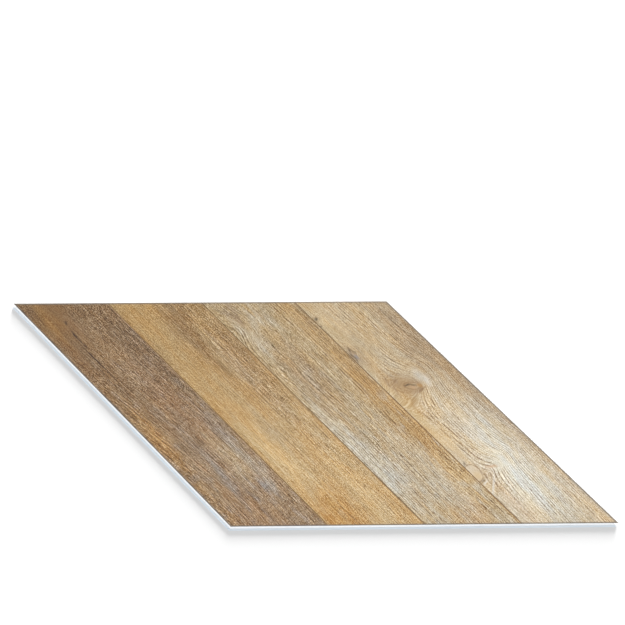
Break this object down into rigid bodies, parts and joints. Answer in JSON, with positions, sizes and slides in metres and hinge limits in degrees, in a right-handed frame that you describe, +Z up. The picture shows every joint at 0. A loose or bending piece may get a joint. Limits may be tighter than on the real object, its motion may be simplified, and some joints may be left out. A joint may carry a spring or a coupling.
{
  "type": "vinyl floor plank",
  "caption": "Slanted chevron floor plank of rigid vinyl with an oak-strip face, eased edges, lock lips on two sides and undercut hooks on the other two.",
  "frame": {"origin": "centre of the printed face's parallelogram, on the underside", "axes": "+X along the long edges, +Y from the front lip edge to the back hook edge, +Z up out of the printed face"},
  "size_m": [0.8276, 0.3107, 0.005],
  "materials": {
    "oak_print_vinyl": "matte embossed oak print on a white rigid core"
  },
  "bodies": {
    "root": {"plank": "oak_print_vinyl"}
  },
  "joints": []
}
